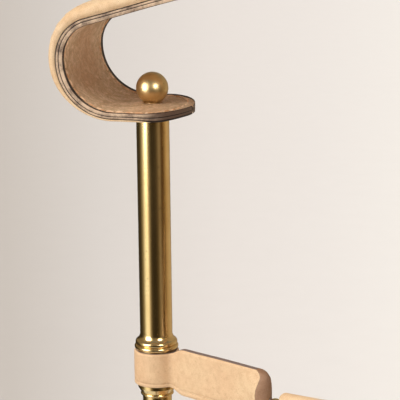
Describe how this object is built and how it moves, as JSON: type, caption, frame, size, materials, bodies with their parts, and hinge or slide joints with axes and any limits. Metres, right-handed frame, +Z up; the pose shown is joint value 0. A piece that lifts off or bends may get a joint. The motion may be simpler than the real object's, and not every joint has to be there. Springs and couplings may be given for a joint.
{
  "type": "music stand",
  "caption": "Low brass and leather sheet-music rack: two posts with ball finials, a padded leather carrying handle, strap-hung side rails and a shelf on ball feet.",
  "frame": {"origin": "centre of the footprint on the floor", "axes": "+X from the left post to the right post, +Y from the taller side rail to the lower one, +Z up"},
  "size_m": [0.3668, 0.194, 0.4342],
  "materials": {
    "brass_aged": "polished, with light patina and hairline scratches",
    "brass_polished": "polished",
    "steel": "plain",
    "leather_tan": "tan, fine grain, stitched, brown painted edges",
    "suede_lining": "brown suede",
    "leather_shelf": "tan, fine grain",
    "wood_board": "stained",
    "felt": "felt"
  },
  "bodies": {
    "root": {"ball_foot_back_left": "brass_aged", "ball_foot_back_right": "brass_aged", "ball_foot_front_left": "brass_aged", "ball_foot_front_right": "brass_aged", "base_rail_back": "brass_aged", "base_rail_front": "brass_aged", "base_socket_left": "brass_aged", "base_socket_right": "brass_aged", "cross_foot_left": "brass_aged", "cross_foot_right": "brass_aged", "cross_pins": "steel", "felt_pads": "felt", "handle_lining": "suede_lining", "handle_outer": "leather_tan", "high_collar_left": "brass_aged", "high_collar_right": "brass_aged", "high_neck_left": "brass_aged", "high_neck_right": "brass_aged", "high_rail_core": "steel", "high_rail_cover": "leather_tan", "high_strap_left": "leather_tan", "high_strap_right": "leather_tan", "high_upright_left": "brass_aged", "high_upright_right": "brass_aged", "low_collar_left": "brass_aged", "low_collar_right": "brass_aged", "low_neck_left": "brass_aged", "low_neck_right": "brass_aged", "low_rail_core": "steel", "low_rail_cover": "leather_tan", "low_strap_left": "leather_tan", "low_strap_right": "leather_tan", "low_upright_left": "brass_aged", "low_upright_right": "brass_aged", "lower_tube_left": "brass_aged", "lower_tube_right": "brass_aged", "mid_collar_left": "brass_aged", "mid_collar_right": "brass_aged", "mid_tube_left": "brass_aged", "mid_tube_right": "brass_aged", "rail_screws": "brass_aged", "shelf_board": "wood_board", "shelf_cover": "leather_shelf", "shelf_screws": "steel", "tie_nut_left": "steel", "tie_nut_right": "steel", "tie_rod_left": "steel", "tie_rod_right": "steel", "tube_cap_left": "brass_aged", "tube_cap_right": "brass_aged", "upper_ring_left": "brass_aged", "upper_ring_right": "brass_aged", "upper_tube_left": "brass_aged", "upper_tube_right": "brass_aged"},
    "finial_left": {"finial_left": "brass_polished"},
    "finial_right": {"finial_right": "brass_polished"}
  },
  "joints": [
    {"name": "finial_left_turn", "type": "hinge", "parent": "root", "child": "finial_left", "pos_m": [-0.14, 0, 0.3622], "axis": [0, 0, 1], "continuous": true},
    {"name": "finial_right_turn", "type": "hinge", "parent": "root", "child": "finial_right", "pos_m": [0.14, 0, 0.3622], "axis": [0, 0, 1], "continuous": true}
  ]
}
